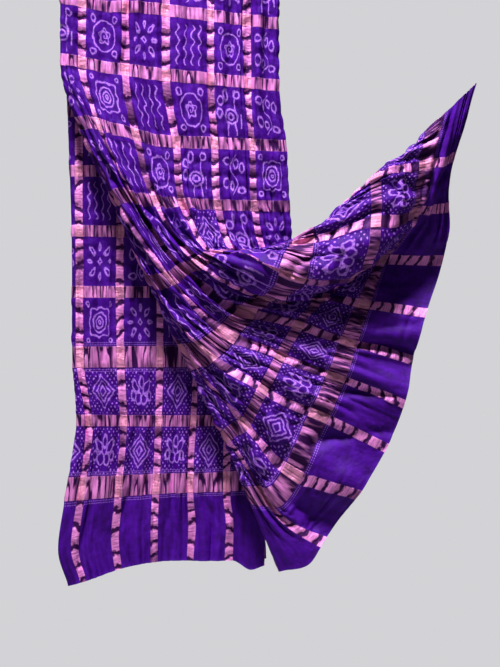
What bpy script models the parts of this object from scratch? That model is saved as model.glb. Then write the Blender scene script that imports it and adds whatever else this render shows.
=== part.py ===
"""A dupatta stole, folded once lengthwise and hung over a line.

The front end's outer corner is drawn up and aside, so that end rolls into an arm along the
top and fans out below it. Units are metres, +Z is up and +Y points away from the viewer.
The origin lies on the line, under the top fold.

A place on the cloth is told by two lengths measured flat: "across", from the outer selvedge,
and "along", from the hem of the end that it belongs to.
"""

from collections import namedtuple

import bpy
import numpy as np

MM = 0.001

# Driving sizes
CLOTH_WIDTH = 908 * MM
FRONT_LENGTH = 1104 * MM
CROWN_LENGTH = 44 * MM
BACK_LENGTH = 1150 * MM
END_BORDER = 105 * MM
FRONT_BREAK = 637 * MM
CROWN_REACH = 60 * MM
WALL = 2 * MM

# Flat cloth left out between two pieces, of which the gathers leave about 0.3 mm
SEAM_GAP = 0.5 * MM

# Gathers of the crinkled field: their pitch on the flat cloth, how far they stand off it,
# how much of them the hidden layer, the fan and the top fold keep, and the layer's outward lean
GATHER_PITCH = 42 * MM
GATHER_HEIGHT = 3.0 * MM
GATHER_LEAN = 0.45
HIDDEN_SHARE = 0.4
FAN_SHARE = 0.5
CROWN_SHARE = 0.4

# Where the gathers rise again past the top fold, die out in the end borders, and stop short
# of the turned edge
CROWN_FADE = 176 * MM
BORDER_FADE = (35 * MM, 140 * MM)
TURN_FADE = 14 * MM

# Unevenness of the gathers along and across the cloth: its reach in turns of the wave's
# angle and its wavelength
DRIFT_ALONG = (0.14, 700 * MM)
DRIFT_ACROSS = (0.1, 270 * MM)

# Share of its flat size that the cloth keeps where its waves die out, and where they stand full
CROWDED_ROOM = 0.1
FREE_ROOM = 0.5

# Soft swells of the plain end borders
SWELL_PITCH = 150 * MM
SWELL_HEIGHT = 6 * MM
SWELL_END = 136 * MM

# Lengthwise rails of the front end, in millimetres. Each row is one crosswise section:
# how far along and across the flat cloth it lies, then where it hangs, sideways from the
# line's middle, below the line, and in depth, with the viewer's side negative.
RAIL_COLUMNS = ("along", "across", "side", "drop", "depth")
FRONT_OUTER = {
    "selvedge": (
        (0, 0, 378, 431, -50),
        (105, 0, 341, 468, -46),
        (155, 0, 304, 506, -40),
        (211, 0, 280, 548, -22),
        (302, 0, 216, 624, -14),
        (350, 0, 186, 658, -9),
        (393, 0, 159, 650, -12),
        (477, 0, 149, 581, -18),
        (561, 0, 145, 506, -18),
        (645, 0, 136, 431, -18),
        (1104, 0, 136, 0, -18),
    ),
    "crest": (
        (0, 10, 373, 447, -48),
        (105, 14, 337, 480, -48),
        (155, 22, 299, 510, -54),
        (211, 60, 254, 546, -58),
        (302, 125, 169, 618, -54),
        (350, 148, 128, 634, -46),
        (393, 165, 88, 638, -34),
        (477, 170, 54, 579, -19),
        (561, 170, 50, 502, -18),
        (645, 170, 45, 422, -18),
        (1104, 170, 45, 0, -18),
    ),
    "belly": (
        (0, 150, 347, 575, -26),
        (105, 148, 314, 580, -42),
        (155, 142, 291, 584, -58),
        (211, 146, 255, 590, -66),
        (302, 212, 158, 650, -64),
        (393, 280, 48, 642, -46),
        (477, 290, -4, 576, -28),
        (561, 285, -16, 499, -20),
        (645, 280, -28, 415, -18),
        (1104, 280, -28, 0, -18),
    ),
    "keel": (
        (0, 190, 346, 605, -16),
        (105, 178, 305, 600, -34),
        (155, 172, 290, 606, -52),
        (211, 218, 240, 656, -56),
        (302, 270, 146, 682, -56),
        (393, 315, 40, 650, -42),
        (477, 315, -14, 575, -27),
        (561, 305, -28, 496, -20),
        (645, 300, -40, 413, -18),
        (1104, 300, -40, 0, -18),
    ),
    "tuck": (
        (0, 248, 340, 651, -8),
        (105, 244, 271, 647, -10),
        (155, 245, 252, 650, -14),
        (211, 270, 216, 676, -30),
        (302, 303, 131, 692, -34),
        (393, 355, 30, 655, -33),
        (477, 345, -24, 574, -25),
        (561, 335, -46, 491, -21),
        (645, 330, -56, 411, -18),
        (1104, 330, -56, 0, -18),
    ),
    "valley": (
        (0, 328, 318, 714, -22),
        (105, 328, 249, 704, -28),
        (211, 328, 190, 695, -30),
        (302, 335, 119, 696, -30),
        (393, 400, 20, 658, -31),
        (477, 385, -38, 572, -31),
        (561, 370, -69, 485, -26),
        (645, 370, -81, 408, -18),
        (1104, 370, -81, 0, -18),
    ),
    "fan": (
        (0, 580, 269, 881, -30),
        (105, 580, 196, 845, -34),
        (211, 580, 116, 808, -36),
        (302, 540, 60, 750, -36),
        (393, 500, 0, 672, -34),
        (477, 460, -54, 567, -30),
        (561, 430, -95, 478, -26),
        (645, 420, -114, 401, -18),
        (1104, 420, -114, 0, -18),
    ),
    "skirt": (
        (0, 750, 190, 999, -26),
        (105, 735, 132, 954, -28),
        (211, 668, 92, 852, -28),
        (302, 605, 39, 764, -28),
        (393, 545, -14, 674, -28),
        (477, 495, -64, 570, -26),
        (561, 460, -103, 476, -24),
        (645, 440, -126, 399, -18),
        (1104, 440, -126, 0, -18),
    ),
    "lap": (
        (0, 784, 172, 1025, -24),
        (105, 765, 119, 953, -25),
        (211, 703, 82, 857, -26),
        (302, 630, 31, 765, -26),
        (393, 560, -18, 673, -26),
        (477, 506, -65, 571, -25),
        (561, 466, -105, 477, -23),
        (645, 444, -128, 399, -18),
        (1104, 444, -128, 0, -18),
    ),
    "edge": (
        (0, 818, 136, 1035, -22),
        (105, 798, 100, 951, -22),
        (211, 746, 66, 870, -22),
        (302, 672, 17, 769, -22),
        (393, 588, -29, 670, -22),
        (477, 525, -73, 572, -22),
        (561, 478, -115, 478, -21),
        (645, 454, -136, 398, -18),
        (1104, 454, -136, 0, -18),
    ),
}

FRONT_INNER = {
    "selvedge": (
        (0, 908, 150, 985, -10),
        (105, 908, 145, 905, -10),
        (645, 908, 123, 410, -10),
        (1104, 908, 122, 0, -10),
    ),
}

# Rails of the back end, which hangs straight, the layer away from the viewer first
BACK_OUTER = {
    "selvedge": (
        (0, 0, 120, 1022, 18),
        (105, 0, 117, 936, 18),
        (645, 0, 128, 462, 18),
        (1150, 0, 136, 0, 18),
    ),
    "middle": (
        (0, 230, -8, 1021, 18),
        (105, 230, -8, 938, 18),
        (302, 236, -4, 767, 18),
        (645, 233, 0, 461, 18),
        (1150, 227, 0, 0, 18),
    ),
    "edge": (
        (0, 454, -128, 1056, 18),
        (50, 454, -141, 1010, 18),
        (105, 454, -133, 950, 18),
        (211, 462, -118, 848, 18),
        (302, 474, -123, 769, 18),
        (477, 474, -124, 610, 18),
        (645, 466, -129, 460, 18),
        (1150, 454, -136, 0, 18),
    ),
}
BACK_INNER = {
    "middle": (
        (0, 680, -12, 1025, 10),
        (105, 680, -10, 940, 10),
        (302, 680, -4, 768, 10),
        (645, 680, -4, 460, 10),
        (1150, 680, -7, 0, 10),
    ),
    "rise": (
        (0, 838, 77, 1024, 10),
        (50, 838, 78, 982, 10),
        (105, 838, 74, 937, 10),
        (302, 838, 78, 768, 10),
        (645, 838, 82, 460, 10),
        (1150, 838, 82, 0, 10),
    ),
    "lobe": (
        (0, 876, 101, 1036, 10),
        (50, 876, 101, 989, 10),
        (105, 876, 96, 936, 10),
        (302, 876, 99, 768, 10),
        (645, 876, 104, 460, 10),
        (1150, 876, 104, 0, 10),
    ),
    "selvedge": (
        (0, 908, 117, 1030, 10),
        (50, 908, 118, 986, 10),
        (105, 908, 112, 935, 10),
        (211, 908, 110, 845, 10),
        (302, 908, 115, 768, 10),
        (645, 908, 122, 460, 10),
        (1150, 908, 122, 0, 10),
    ),
}

# Long folds of the fan, in millimetres: where each lies across the cloth at the hem and at
# the bundle near the folded edge's start, how high it stands and how wide it is at each
Fold = namedtuple("Fold", "hem bundle height hem_width bundle_width")
FOLDS = {
    "upper": Fold(372, 400, 7, 24, 16),
    "middle": Fold(466, 440, 8, 28, 18),
    "lower": Fold(572, 490, 7, 30, 18),
    "skirt": Fold(672, 520, 8, 30, 18),
    "outer": Fold(768, 548, 7, 24, 16),
}
BUNDLE_ALONG = 500 * MM
FOLD_END_ALONG = 640 * MM

# Pieces in order from the front hem over the line: where each ends along the whole cloth,
# then its mesh steps on the outer layer, round the turned edge, on the inner layer and along
TOTAL_LENGTH = FRONT_LENGTH + CROWN_LENGTH + BACK_LENGTH
Piece = namedtuple("Piece", "end outer turn inner rows finish")
PIECES = {
    "front_end_border": Piece(END_BORDER, 52, 3, 14, 5, "border"),
    "front_swag": Piece(FRONT_BREAK, 52, 3, 14, 24, "field"),
    "front_fall": Piece(FRONT_LENGTH - CROWN_REACH, 40, 3, 16, 4, "field"),
    "top_fold": Piece(FRONT_LENGTH + CROWN_LENGTH + CROWN_REACH, 36, 3, 28, 8, "field"),
    "back_fall": Piece(TOTAL_LENGTH - END_BORDER, 36, 3, 34, 8, "field"),
    "back_end_border": Piece(TOTAL_LENGTH, 36, 3, 34, 4, "border"),
}

# Colour, roughness and metallic share of the cloth in each finish
FINISHES = {
    "field": ((0.10, 0.012, 0.33, 1.0), 0.55, 0.0),
    "border": ((0.055, 0.004, 0.26, 1.0), 0.5, 0.0),
}

# Step of the differences that give the cloth's facing
PROBE = 1.5 * MM


def clear_scene():
    for old in list(bpy.data.objects):
        bpy.data.objects.remove(old, do_unlink=True)


def ease(start, end, value):
    """Smooth rise from 0 at start to 1 at end."""
    t = np.clip((value - start) / (end - start), 0.0, 1.0)
    return t * t * (3 - 2 * t)


def curve_through(knots, values, at):
    """Smooth curve through values at knots, read at given places.

    knots is (..., n), values (..., n, k) and at (..., m). Each span is a cubic. The slope at a
    knot weighs the slopes of its two spans by each other's length, stays within three times
    the flatter one and is zero at a peak, so that the curve never overshoots its values.
    """
    span = np.diff(knots, axis=-1)
    slope = np.diff(values, axis=-2) / span[..., None]
    left, right = span[..., :-1, None], span[..., 1:, None]
    inner = (slope[..., :-1, :] * right + slope[..., 1:, :] * left) / (left + right)
    flatter = 3 * np.minimum(abs(slope[..., :-1, :]), abs(slope[..., 1:, :]))
    same_way = slope[..., :-1, :] * slope[..., 1:, :] > 0
    inner = np.where(same_way, np.clip(inner, -flatter, flatter), 0.0)
    tangent = np.concatenate([slope[..., :1, :], inner, slope[..., -1:, :]], axis=-2)
    spot = (at[..., :, None] >= knots[..., None, 1:-1]).sum(axis=-1)

    def pick(array, index):
        return np.take_along_axis(array, index[..., None], axis=-2)

    size = np.take_along_axis(span, spot, axis=-1)
    t = ((at - np.take_along_axis(knots, spot, axis=-1)) / size)[..., None]
    low, high = pick(values, spot), pick(values, spot + 1)
    low_slope = pick(tangent, spot) * size[..., None]
    high_slope = pick(tangent, spot + 1) * size[..., None]
    blend = t * t * (3 - 2 * t)
    return (low + (high - low) * blend + (t**3 - 2 * t**2 + t) * low_slope
            + (t**3 - t**2) * high_slope)


def read_rails(rails, along):
    """Across places (n, r) and points (n, r, 3) of the rails at each distance along."""
    places, points = [], []
    for rows in rails.values():
        rail = dict(zip(RAIL_COLUMNS, np.array(rows).T * MM))
        hung = np.stack([rail["across"], rail["side"], rail["depth"], -rail["drop"]], axis=-1)
        read = curve_through(rail["along"], hung, along)
        places.append(read[:, 0])
        points.append(read[:, 1:])
    return np.stack(places, axis=1), np.stack(points, axis=1)


def turned_layers(outer_rails, inner_rails, across, along):
    """Points of an end of the cloth: its outer layer, the turned edge and its inner layer.

    Each layer is a smooth curve through its rails. The turn is half a circle as wide as the
    space between the layers, and its outermost point lies on the edge rail.
    """
    outer_places, outer_points = read_rails(outer_rails, along)
    inner_places, inner_points = read_rails(inner_rails, along)
    edge_place = outer_places[:, -1:]
    outward = outer_points[:, -1:] - outer_points[:, -2:-1]
    outward[..., 1] = 0.0
    outward /= np.linalg.norm(outward, axis=-1, keepdims=True)
    radius = (inner_points[:, :1, 1:2] - outer_points[:, -1:, 1:2]) / 2
    edge = outer_points[:, -1:] - outward * abs(radius)
    outer_points = np.concatenate([outer_points[:, :-1], edge], axis=1)
    outer = curve_through(outer_places, outer_points, np.minimum(across, edge_place))

    arc = np.pi * abs(radius[..., 0])
    angle = np.clip((across - edge_place) / abs(radius[..., 0]), 0.0, np.pi)[..., None]
    turn = edge + outward * abs(radius) * np.sin(angle)
    turn[..., 1:2] += radius * (1 - np.cos(angle))

    turn_end = edge.copy()
    turn_end[..., 1:2] += 2 * radius
    inner_places = np.concatenate([edge_place + arc, inner_places], axis=1)
    inner_points = np.concatenate([turn_end, inner_points], axis=1)
    inner = curve_through(inner_places, inner_points, np.maximum(across, edge_place + arc))
    points = np.where((across < edge_place)[..., None], outer, turn)
    return np.where((across > edge_place + arc)[..., None], inner, points)


def turned_edge(travel):
    """Where the turned edge starts across the cloth, and how much cloth the turn takes."""
    front = np.minimum(travel, FRONT_LENGTH)
    back = np.minimum(TOTAL_LENGTH - travel, BACK_LENGTH)
    place, arc = np.empty_like(travel), np.empty_like(travel)
    for ends, outer_rails, inner_rails, along in (
            (travel < FRONT_LENGTH + CROWN_LENGTH / 2, FRONT_OUTER, FRONT_INNER, front),
            (travel >= FRONT_LENGTH + CROWN_LENGTH / 2, BACK_OUTER, BACK_INNER, back)):
        outer_places, outer_points = read_rails(outer_rails, along)
        inner_points = read_rails(inner_rails, along)[1]
        place[ends] = outer_places[ends, -1]
        arc[ends] = np.pi / 2 * abs(inner_points[ends, 0, 1] - outer_points[ends, -1, 1])
    return place, arc


def smooth_cloth(across, travel):
    """Points of the ungathered cloth, with travel measured from the front hem over the line."""
    front = turned_layers(FRONT_OUTER, FRONT_INNER, across, np.minimum(travel, FRONT_LENGTH))
    back_along = np.minimum(TOTAL_LENGTH - travel, BACK_LENGTH)
    back = turned_layers(BACK_OUTER, BACK_INNER, across, back_along)
    angle = np.clip((travel - FRONT_LENGTH) / CROWN_LENGTH, 0.0, 1.0)[:, None, None] * np.pi
    share = (1 - np.cos(angle)) / 2
    points = front * (1 - share) + back * share
    points[..., 2:] += np.sin(angle) * (back[..., 1:2] - front[..., 1:2]) / 2
    return points


def facing(surface, across, travel):
    """Unit normals of a surface function, out of the folded cloth, and its local crowding.

    The crowding is the length that the surface leaves to the flat cloth, both ways at once.
    """
    low, high = np.maximum(across - PROBE, 0), np.minimum(across + PROBE, CLOTH_WIDTH)
    before = np.maximum(travel - PROBE, 0)
    after = np.minimum(travel + PROBE, TOTAL_LENGTH)
    sideways = (surface(high, travel) - surface(low, travel)) / (high - low)[..., None]
    onward = surface(across, after) - surface(across, before)
    onward = onward / (after - before)[:, None, None]
    room = np.linalg.norm(sideways, axis=-1) * np.linalg.norm(onward, axis=-1)
    normal = np.cross(onward, sideways)
    return normal / np.linalg.norm(normal, axis=-1, keepdims=True), room


def fold_lift(across, along):
    """Height of the fan's long folds, which widen from the bundle to the hem."""
    lift = np.zeros_like(across)
    share = (along / BUNDLE_ALONG)[:, None]
    fade = 1 - ease(BUNDLE_ALONG, FOLD_END_ALONG, along)[:, None]
    for fold in FOLDS.values():
        middle = fold.hem + (fold.bundle - fold.hem) * share
        width = fold.hem_width + (fold.bundle_width - fold.hem_width) * np.minimum(share, 1)
        lift += fold.height * MM * fade * np.exp(-((across / MM - middle) / width) ** 2)
    return lift


def cloth_lift(across, travel):
    """How far gathers, folds and swells stand off the ungathered cloth."""
    along = np.where(travel < FRONT_LENGTH + CROWN_LENGTH / 2, travel, TOTAL_LENGTH - travel)
    is_front = travel < FRONT_LENGTH + CROWN_LENGTH / 2
    edge, arc = turned_edge(travel)
    past = across - (edge + arc / 2)[:, None]
    near_turn = ease(arc[:, None] / 2, arc[:, None] / 2 + TURN_FADE, abs(past))

    crown = abs(travel - FRONT_LENGTH - CROWN_LENGTH / 2)
    height = CROWN_SHARE + (1 - CROWN_SHARE) * ease(CROWN_LENGTH, CROWN_FADE, crown)
    height = height * ease(*BORDER_FADE, along)
    fan = np.where(is_front, 1 - ease(BUNDLE_ALONG, FOLD_END_ALONG, along), 0.0)
    height = height * (1 - (1 - FAN_SHARE) * fan)
    height = height[:, None] * np.where((past > 0) & is_front[:, None], HIDDEN_SHARE, 1.0)
    drift = DRIFT_ALONG[0] * np.sin(2 * np.pi * along / DRIFT_ALONG[1])[:, None]
    drift = drift + DRIFT_ACROSS[0] * np.sin(2 * np.pi * across / DRIFT_ACROSS[1])
    wave = np.sin(2 * np.pi * (across / GATHER_PITCH + drift))
    gathers = GATHER_HEIGHT * height * (GATHER_LEAN + wave)

    swell = (1 - ease(0.0, SWELL_END, along))[:, None] * SWELL_HEIGHT
    swell = swell * np.sin(2 * np.pi * (across - CLOTH_WIDTH / 2) / SWELL_PITCH)
    swell = np.where((past > 0) & is_front[:, None], 0.0, swell)
    folds = np.where((past < 0) & is_front[:, None], fold_lift(across, along), 0.0)
    return near_turn * (gathers + swell + folds)


def cloth(across, travel):
    """Points of the gathered cloth's middle surface."""
    normal, room = facing(smooth_cloth, across, travel)
    lift = cloth_lift(across, travel) * ease(CROWDED_ROOM, FREE_ROOM, room)
    return smooth_cloth(across, travel) + normal * lift[..., None]


def row_places(start, end, rows):
    """Travel of a piece's rows, of which all but the end ones lie on the arch if it has one."""
    arch = np.linspace(FRONT_LENGTH, FRONT_LENGTH + CROWN_LENGTH, rows - 1)
    if start < arch[0] and arch[-1] < end:
        return np.concatenate([[start], arch, [end]])
    return np.linspace(start, end, rows + 1)


def piece_grid(piece, start, end):
    """Across places (rows + 1, columns + 1) and travel of one piece's mesh points."""
    travel = row_places(start, end, piece.rows)
    edge, arc = (part[:, None] for part in turned_edge(travel))
    outer = np.linspace(0, 1, piece.outer + 1)[None, :-1] * edge
    turn = edge + np.linspace(0, 1, piece.turn + 1)[None, :-1] * arc
    inner = edge + arc + np.linspace(0, 1, piece.inner + 1) * (CLOTH_WIDTH - edge - arc)
    return np.concatenate([outer, turn, inner], axis=1), travel


def wall_faces(rows, columns):
    """Faces of a closed wall: its outer skin, its inner skin and the rim between them.

    The rim is in triangles whose diagonals run alike at both ends, so that the rims of two
    pieces that meet stay parallel.
    """
    index = np.arange(rows * columns).reshape(rows, columns)
    under = index + rows * columns

    def faces(*corners):
        return np.stack(corners, axis=-1).reshape(-1, len(corners)).tolist()

    skin = faces(index[:-1, :-1], index[1:, :-1], index[1:, 1:], index[:-1, 1:])
    lining = faces(under[:-1, :-1], under[:-1, 1:], under[1:, 1:], under[1:, :-1])
    rims = []
    for edge, lining_edge in ((index[0], under[0]), (index[:, -1], under[:, -1])):
        rims += faces(edge[:-1], edge[1:], lining_edge[1:])
        rims += faces(edge[:-1], lining_edge[1:], lining_edge[:-1])
    for edge, lining_edge in ((index[-1], under[-1]), (index[:, 0], under[:, 0])):
        rims += faces(edge[:-1], lining_edge[1:], edge[1:])
        rims += faces(edge[:-1], lining_edge[:-1], lining_edge[1:])
    return skin + lining + rims


def add_piece(name, piece, start, end):
    """One stretch of the cloth as a closed wall of even thickness."""
    across, travel = piece_grid(piece, start, end)
    middle = cloth(across, travel)
    half = facing(cloth, across, travel)[0] * WALL / 2
    points = np.concatenate([(middle + half).reshape(-1, 3), (middle - half).reshape(-1, 3)])
    mesh = bpy.data.meshes.new(name)
    mesh.from_pydata(points.tolist(), [], wall_faces(*across.shape))
    mesh.shade_smooth()
    mesh.materials.append(cloth_material(piece.finish))
    bpy.context.scene.collection.objects.link(bpy.data.objects.new(name, mesh))


def cloth_material(finish):
    """Crinkled silk in one of the cloth's finishes."""
    name = "silk_" + finish
    if name in bpy.data.materials:
        return bpy.data.materials[name]
    colour, roughness, metallic = FINISHES[finish]
    material = bpy.data.materials.new(name)
    material.use_nodes = True
    shader = material.node_tree.nodes["Principled BSDF"]
    shader.inputs["Base Color"].default_value = colour
    shader.inputs["Roughness"].default_value = roughness
    shader.inputs["Metallic"].default_value = metallic
    return material


def main():
    clear_scene()
    start = 0.0
    for name, piece in PIECES.items():
        end = piece.end if piece.end == TOTAL_LENGTH else piece.end - SEAM_GAP / 2
        add_piece(name, piece, start, end)
        start = piece.end + SEAM_GAP / 2


main()
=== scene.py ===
"""A dupatta stole of crinkled tie-dyed silk, folded once lengthwise and hung over a line.

Its front end's outer corner is drawn up and aside, so that end rolls into an arm along the top
and fans out below it. The back end hangs straight.

A place on the cloth is told by two lengths measured flat: "across", from the outer selvedge,
and "travel", from the front hem over the line to the back hem. "Along" is the distance from
the nearer hem. Lengths are metres unless a name or a table says millimetres.
"""

from collections import namedtuple

import bpy
import numpy as np
from bpy.props import FloatProperty, FloatVectorProperty, PointerProperty
from bpy.types import Operator, Panel, PropertyGroup
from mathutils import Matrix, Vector


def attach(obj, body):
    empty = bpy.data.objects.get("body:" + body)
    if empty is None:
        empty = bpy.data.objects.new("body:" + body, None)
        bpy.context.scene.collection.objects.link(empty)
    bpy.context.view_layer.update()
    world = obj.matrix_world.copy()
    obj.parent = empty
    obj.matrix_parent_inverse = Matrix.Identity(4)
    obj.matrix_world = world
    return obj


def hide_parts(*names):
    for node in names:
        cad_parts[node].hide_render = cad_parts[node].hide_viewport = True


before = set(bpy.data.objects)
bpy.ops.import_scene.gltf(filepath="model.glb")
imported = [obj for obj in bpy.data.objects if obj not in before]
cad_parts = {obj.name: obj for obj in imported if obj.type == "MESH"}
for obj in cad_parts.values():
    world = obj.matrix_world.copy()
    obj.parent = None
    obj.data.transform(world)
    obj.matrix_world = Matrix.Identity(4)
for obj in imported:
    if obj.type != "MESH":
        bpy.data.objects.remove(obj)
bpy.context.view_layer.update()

bl_info = {
    "name": "Dupatta Stole",
    "version": (1, 0, 0),
    "blender": (4, 5, 0),
    "location": "3D View > Sidebar > Stole",
    "description": "Crinkled tie-dyed silk stole with metallic checks, hung over a line",
    "category": "Add Mesh",
}

MM = 0.001

# The cloth as cut, and how it hangs
CLOTH_WIDTH = 908 * MM
FRONT_LENGTH = 1104 * MM
CROWN_LENGTH = 44 * MM
BACK_LENGTH = 1150 * MM
TOTAL_LENGTH = FRONT_LENGTH + CROWN_LENGTH + BACK_LENGTH
LINE_PLACE = FRONT_LENGTH + CROWN_LENGTH / 2
END_BORDER = 105 * MM
FRONT_BREAK = 637 * MM
CROWN_REACH = 60 * MM

# Share of its cut width and length that the crinkled cloth is taken to keep when it lies flat
# and nobody pulls at it. It is an estimate, and the sheets are declared at this size and not
# at the cut's, of whose area their meshes hold only 0.53 to 0.68.
RELAXED_ACROSS = 0.68
RELAXED_ALONG = 0.93

# Lengthwise rails of the front end, in millimetres. Each row is one crosswise section:
# how far along and across the flat cloth it lies, then where it hangs, sideways from the
# line's middle, below the line, and in depth, with the viewer's side negative.
RAIL_COLUMNS = ("along", "across", "side", "drop", "depth")
FRONT_OUTER = {
    "selvedge": (
        (0, 0, 378, 431, -50), (105, 0, 341, 468, -46), (155, 0, 304, 506, -40),
        (211, 0, 280, 548, -22), (302, 0, 216, 624, -14), (350, 0, 186, 658, -9),
        (393, 0, 159, 650, -12), (477, 0, 149, 581, -18), (561, 0, 145, 506, -18),
        (645, 0, 136, 431, -18), (1104, 0, 136, 0, -18),
    ),
    "crest": (
        (0, 10, 373, 447, -48), (105, 14, 337, 480, -48), (155, 22, 299, 510, -54),
        (211, 60, 254, 546, -58), (302, 125, 169, 618, -54), (350, 148, 128, 634, -46),
        (393, 165, 88, 638, -34), (477, 170, 54, 579, -19), (561, 170, 50, 502, -18),
        (645, 170, 45, 422, -18), (1104, 170, 45, 0, -18),
    ),
    "belly": (
        (0, 150, 347, 575, -26), (105, 148, 314, 580, -42), (155, 142, 291, 584, -58),
        (211, 146, 255, 590, -66), (302, 212, 158, 650, -64), (393, 280, 48, 642, -46),
        (477, 290, -4, 576, -28), (561, 285, -16, 499, -20), (645, 280, -28, 415, -18),
        (1104, 280, -28, 0, -18),
    ),
    "keel": (
        (0, 190, 346, 605, -16), (105, 178, 305, 600, -34), (155, 172, 290, 606, -52),
        (211, 218, 240, 656, -56), (302, 270, 146, 682, -56), (393, 315, 40, 650, -42),
        (477, 315, -14, 575, -27), (561, 305, -28, 496, -20), (645, 300, -40, 413, -18),
        (1104, 300, -40, 0, -18),
    ),
    "tuck": (
        (0, 248, 340, 651, -8), (105, 244, 271, 647, -10), (155, 245, 252, 650, -14),
        (211, 270, 216, 676, -30), (302, 303, 131, 692, -34), (393, 355, 30, 655, -33),
        (477, 345, -24, 574, -25), (561, 335, -46, 491, -21), (645, 330, -56, 411, -18),
        (1104, 330, -56, 0, -18),
    ),
    "valley": (
        (0, 328, 318, 714, -22), (105, 328, 249, 704, -28), (211, 328, 190, 695, -30),
        (302, 335, 119, 696, -30), (393, 400, 20, 658, -31), (477, 385, -38, 572, -31),
        (561, 370, -69, 485, -26), (645, 370, -81, 408, -18), (1104, 370, -81, 0, -18),
    ),
    "fan": (
        (0, 580, 269, 881, -30), (105, 580, 196, 845, -34), (211, 580, 116, 808, -36),
        (302, 540, 60, 750, -36), (393, 500, 0, 672, -34), (477, 460, -54, 567, -30),
        (561, 430, -95, 478, -26), (645, 420, -114, 401, -18), (1104, 420, -114, 0, -18),
    ),
    "skirt": (
        (0, 750, 190, 999, -26), (105, 735, 132, 954, -28), (211, 668, 92, 852, -28),
        (302, 605, 39, 764, -28), (393, 545, -14, 674, -28), (477, 495, -64, 570, -26),
        (561, 460, -103, 476, -24), (645, 440, -126, 399, -18), (1104, 440, -126, 0, -18),
    ),
    "lap": (
        (0, 784, 172, 1025, -24), (105, 765, 119, 953, -25), (211, 703, 82, 857, -26),
        (302, 630, 31, 765, -26), (393, 560, -18, 673, -26), (477, 506, -65, 571, -25),
        (561, 466, -105, 477, -23), (645, 444, -128, 399, -18), (1104, 444, -128, 0, -18),
    ),
    "edge": (
        (0, 818, 136, 1035, -22), (105, 798, 100, 951, -22), (211, 746, 66, 870, -22),
        (302, 672, 17, 769, -22), (393, 588, -29, 670, -22), (477, 525, -73, 572, -22),
        (561, 478, -115, 478, -21), (645, 454, -136, 398, -18), (1104, 454, -136, 0, -18),
    ),
}

FRONT_INNER = {
    "selvedge": (
        (0, 908, 150, 985, -10), (105, 908, 145, 905, -10), (645, 908, 123, 410, -10),
        (1104, 908, 122, 0, -10),
    ),
}

# Rails of the back end, which hangs straight, the layer away from the viewer first
BACK_OUTER = {
    "selvedge": (
        (0, 0, 120, 1022, 18), (105, 0, 117, 936, 18), (645, 0, 128, 462, 18),
        (1150, 0, 136, 0, 18),
    ),
    "middle": (
        (0, 230, -8, 1021, 18), (105, 230, -8, 938, 18), (302, 236, -4, 767, 18),
        (645, 233, 0, 461, 18), (1150, 227, 0, 0, 18),
    ),
    "edge": (
        (0, 454, -128, 1056, 18), (50, 454, -141, 1010, 18), (105, 454, -133, 950, 18),
        (211, 462, -118, 848, 18), (302, 474, -123, 769, 18), (477, 474, -124, 610, 18),
        (645, 466, -129, 460, 18), (1150, 454, -136, 0, 18),
    ),
}
BACK_INNER = {
    "middle": (
        (0, 680, -12, 1025, 10), (105, 680, -10, 940, 10), (302, 680, -4, 768, 10),
        (645, 680, -4, 460, 10), (1150, 680, -7, 0, 10),
    ),
    "rise": (
        (0, 838, 77, 1024, 10), (50, 838, 78, 982, 10), (105, 838, 74, 937, 10),
        (302, 838, 78, 768, 10), (645, 838, 82, 460, 10), (1150, 838, 82, 0, 10),
    ),
    "lobe": (
        (0, 876, 101, 1036, 10), (50, 876, 101, 989, 10), (105, 876, 96, 936, 10),
        (302, 876, 99, 768, 10), (645, 876, 104, 460, 10), (1150, 876, 104, 0, 10),
    ),
    "selvedge": (
        (0, 908, 117, 1030, 10), (50, 908, 118, 986, 10), (105, 908, 112, 935, 10),
        (211, 908, 110, 845, 10), (302, 908, 115, 768, 10), (645, 908, 122, 460, 10),
        (1150, 908, 122, 0, 10),
    ),
}

# Long folds of the fan, in millimetres: where each lies across the cloth at the hem and at
# the bundle near the folded edge's start, how high it stands and how wide it is at each
Fold = namedtuple("Fold", "hem bundle height hem_width bundle_width")
FOLDS = {
    "upper": Fold(372, 400, 7, 24, 16),
    "middle": Fold(466, 440, 8, 28, 18),
    "lower": Fold(572, 490, 7, 30, 18),
    "skirt": Fold(672, 520, 8, 30, 18),
    "outer": Fold(768, 548, 7, 24, 16),
}
BUNDLE_ALONG = 500 * MM
FOLD_END_ALONG = 640 * MM

# Gathers of the crinkled field, as the solids have them
GATHER_PITCH = 42 * MM
GATHER_HEIGHT = 3.0 * MM
GATHER_LEAN = 0.45
HIDDEN_SHARE = 0.4
FAN_SHARE = 0.5
CROWN_SHARE = 0.4

# Where the gathers rise again past the top fold, die out in the end borders, and stop short
# of the turned edge
CROWN_FADE = 176 * MM
BORDER_FADE = (35 * MM, 140 * MM)
TURN_FADE = 14 * MM

# Unevenness of the gathers along and across the cloth: its reach in turns of the wave's
# angle and its wavelength
DRIFT_ALONG = (0.14, 700 * MM)
DRIFT_ACROSS = (0.1, 270 * MM)

# Share of its flat size that the cloth keeps where its waves die out, and where they stand full
CROWDED_ROOM = 0.1
FREE_ROOM = 0.5

# Soft swells of the plain end borders, and the step of the differences that give the facing
SWELL_PITCH = 150 * MM
SWELL_HEIGHT = 6 * MM
SWELL_END = 136 * MM
PROBE = 1.5 * MM

# The woven checks: lengthwise stripes and crosswise bands stand on one lattice, with the two
# wide bands of each end wider than the rest by LATTICE_SHIFT
CHECK = 84 * MM
OPENING = 68 * MM
FIRST_CELL = 34 * MM
THIRD_ROW = 351 * MM
LATTICE_SHIFT = 14 * MM
SHIFT_ALONG = 302 * MM
WIDE_BANDS = ((105 * MM, 135 * MM), (287 * MM, 317 * MM))

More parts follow.
